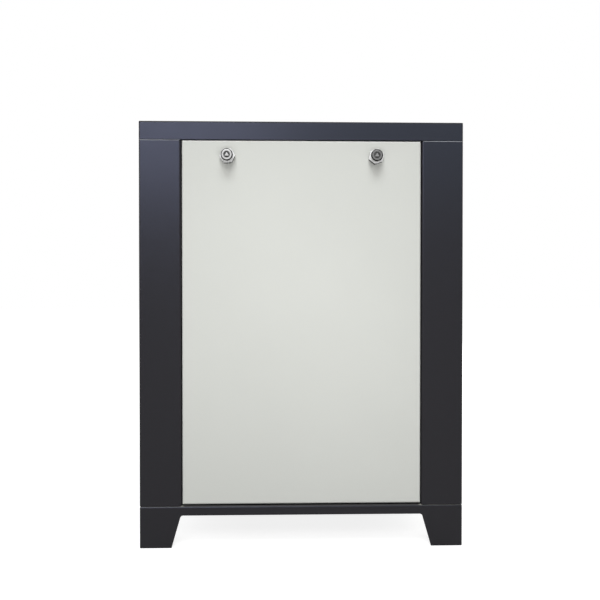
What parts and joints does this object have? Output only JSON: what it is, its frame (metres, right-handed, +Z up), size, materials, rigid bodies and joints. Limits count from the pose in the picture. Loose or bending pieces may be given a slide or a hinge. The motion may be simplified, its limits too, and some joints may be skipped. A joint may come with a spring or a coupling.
{
  "type": "refrigerated compressed-air dryer",
  "caption": "Free-standing refrigerated air dryer: folded steel cabinet on legs with a latched tilt-out service panel, louvres, control fascia, refrigeration circuit and air ports.",
  "frame": {"origin": "on the floor, midway between the four floor-bolt holes", "axes": "+Z up; the pictured service face looks along -Y, the condenser face along +Y, the control face along +X and the port face along -X"},
  "size_m": [0.571, 0.723, 0.683],
  "materials": {
    "frame_paint": "satin",
    "panel_paint": "satin",
    "zinc_steel": "satin",
    "chrome": "polished",
    "copper": "satin",
    "brass": "satin",
    "aluminium": "satin",
    "rubber": "matte",
    "insulation": "matte",
    "black_steel": "satin",
    "drier_shell": "satin",
    "black_plastic": "satin",
    "white_plastic": "satin",
    "drain_hose": "satin",
    "red_plastic": "gloss",
    "green_plastic": "gloss",
    "lamp_lens": "gloss",
    "needle_paint": "satin",
    "lens_glass": "clear"
  },
  "bodies": {
    "cabinet": {"base_pan": "frame_paint", "post_service_left": "frame_paint", "post_service_right": "frame_paint", "post_condenser_left": "frame_paint", "post_condenser_right": "frame_paint", "end_rails": "frame_paint", "side_rails": "frame_paint", "top_cover": "frame_paint", "condenser_panel": "panel_paint", "front_lower_panel": "panel_paint", "control_fascia": "frame_paint", "port_panel": "panel_paint", "cabinet_fasteners": "zinc_steel", "condenser_core": "aluminium", "condenser_coil": "copper", "fan_shroud": "black_steel", "fan_guard": "black_steel", "fan_motor": "black_steel", "compressor_shell": "black_steel", "terminal_cover": "black_plastic", "compressor_mounts": "rubber", "compressor_bolts": "zinc_steel", "filter_drier": "drier_shell", "expansion_valve": "brass", "hot_gas_valve": "brass", "discharge_line": "copper", "liquid_line": "copper", "suction_line": "copper", "hot_gas_line": "copper", "heat_exchanger": "insulation", "exchanger_stand": "zinc_steel", "air_inlet_pipe": "zinc_steel", "air_outlet_pipe": "zinc_steel", "port_grommets": "rubber", "separator_body": "aluminium", "drain_ball_valve": "brass", "drain_solenoid": "brass", "drain_tube": "drain_hose", "drain_outlet": "brass", "electrical_tray": "zinc_steel", "contactor": "white_plastic", "cable_gland": "black_plastic", "gauge_cases": "black_plastic", "gauge_lenses": "lens_glass", "button_bezels": "black_plastic", "lamp_lenses": "lamp_lens"},
    "service_door": {"service_panel": "panel_paint", "panel_seal": "rubber", "latch_housings": "chrome", "latch_nuts": "zinc_steel"},
    "latch_left": {"latch_core_left": "chrome", "latch_cam_left": "zinc_steel"},
    "latch_right": {"latch_core_right": "chrome", "latch_cam_right": "zinc_steel"},
    "fan": {"fan_blades": "aluminium"},
    "start_plunger": {"start_button": "green_plastic"},
    "stop_plunger": {"stop_button": "red_plastic"},
    "dew_point_pointer": {"needle_dew_point": "needle_paint"},
    "pressure_pointer": {"needle_pressure": "needle_paint"},
    "drain_lever": {"drain_valve_lever": "red_plastic"}
  },
  "joints": [
    {"name": "service_panel_tilt", "type": "hinge", "parent": "cabinet", "child": "service_door", "pos_m": [0, -0.346, 0.0723], "axis": [1, 0, 0], "range_deg": [0, 20]},
    {"name": "latch_left_turn", "type": "hinge", "parent": "service_door", "child": "latch_left", "pos_m": [-0.1185, -0.35, 0.6264], "axis": [0, -1, 0], "range_deg": [0, 90]},
    {"name": "latch_right_turn", "type": "hinge", "parent": "service_door", "child": "latch_right", "pos_m": [0.1185, -0.35, 0.6264], "axis": [0, 1, 0], "range_deg": [0, 90]},
    {"name": "fan_spin", "type": "hinge", "parent": "cabinet", "child": "fan", "pos_m": [0, 0.26225, 0.291], "axis": [0, 1, 0], "continuous": true},
    {"name": "start_press", "type": "slide", "parent": "cabinet", "child": "start_plunger", "axis": [-1, 0, 0], "range_m": [0, 0.0035], "stiffness_N_per_m": 800},
    {"name": "stop_press", "type": "slide", "parent": "cabinet", "child": "stop_plunger", "axis": [-1, 0, 0], "range_m": [0, 0.0035], "stiffness_N_per_m": 800},
    {"name": "dew_point_needle_turn", "type": "hinge", "parent": "cabinet", "child": "dew_point_pointer", "pos_m": [0.26, -0.21, 0.5779], "axis": [-1, 0, 0], "range_deg": [0, 270]},
    {"name": "pressure_needle_turn", "type": "hinge", "parent": "cabinet", "child": "pressure_pointer", "pos_m": [0.26, -0.126, 0.5779], "axis": [-1, 0, 0], "range_deg": [0, 270]},
    {"name": "drain_lever_turn", "type": "hinge", "parent": "cabinet", "child": "drain_lever", "pos_m": [-0.1285, -0.1275, 0.128], "axis": [0, 0, 1], "range_deg": [0, 90]}
  ]
}
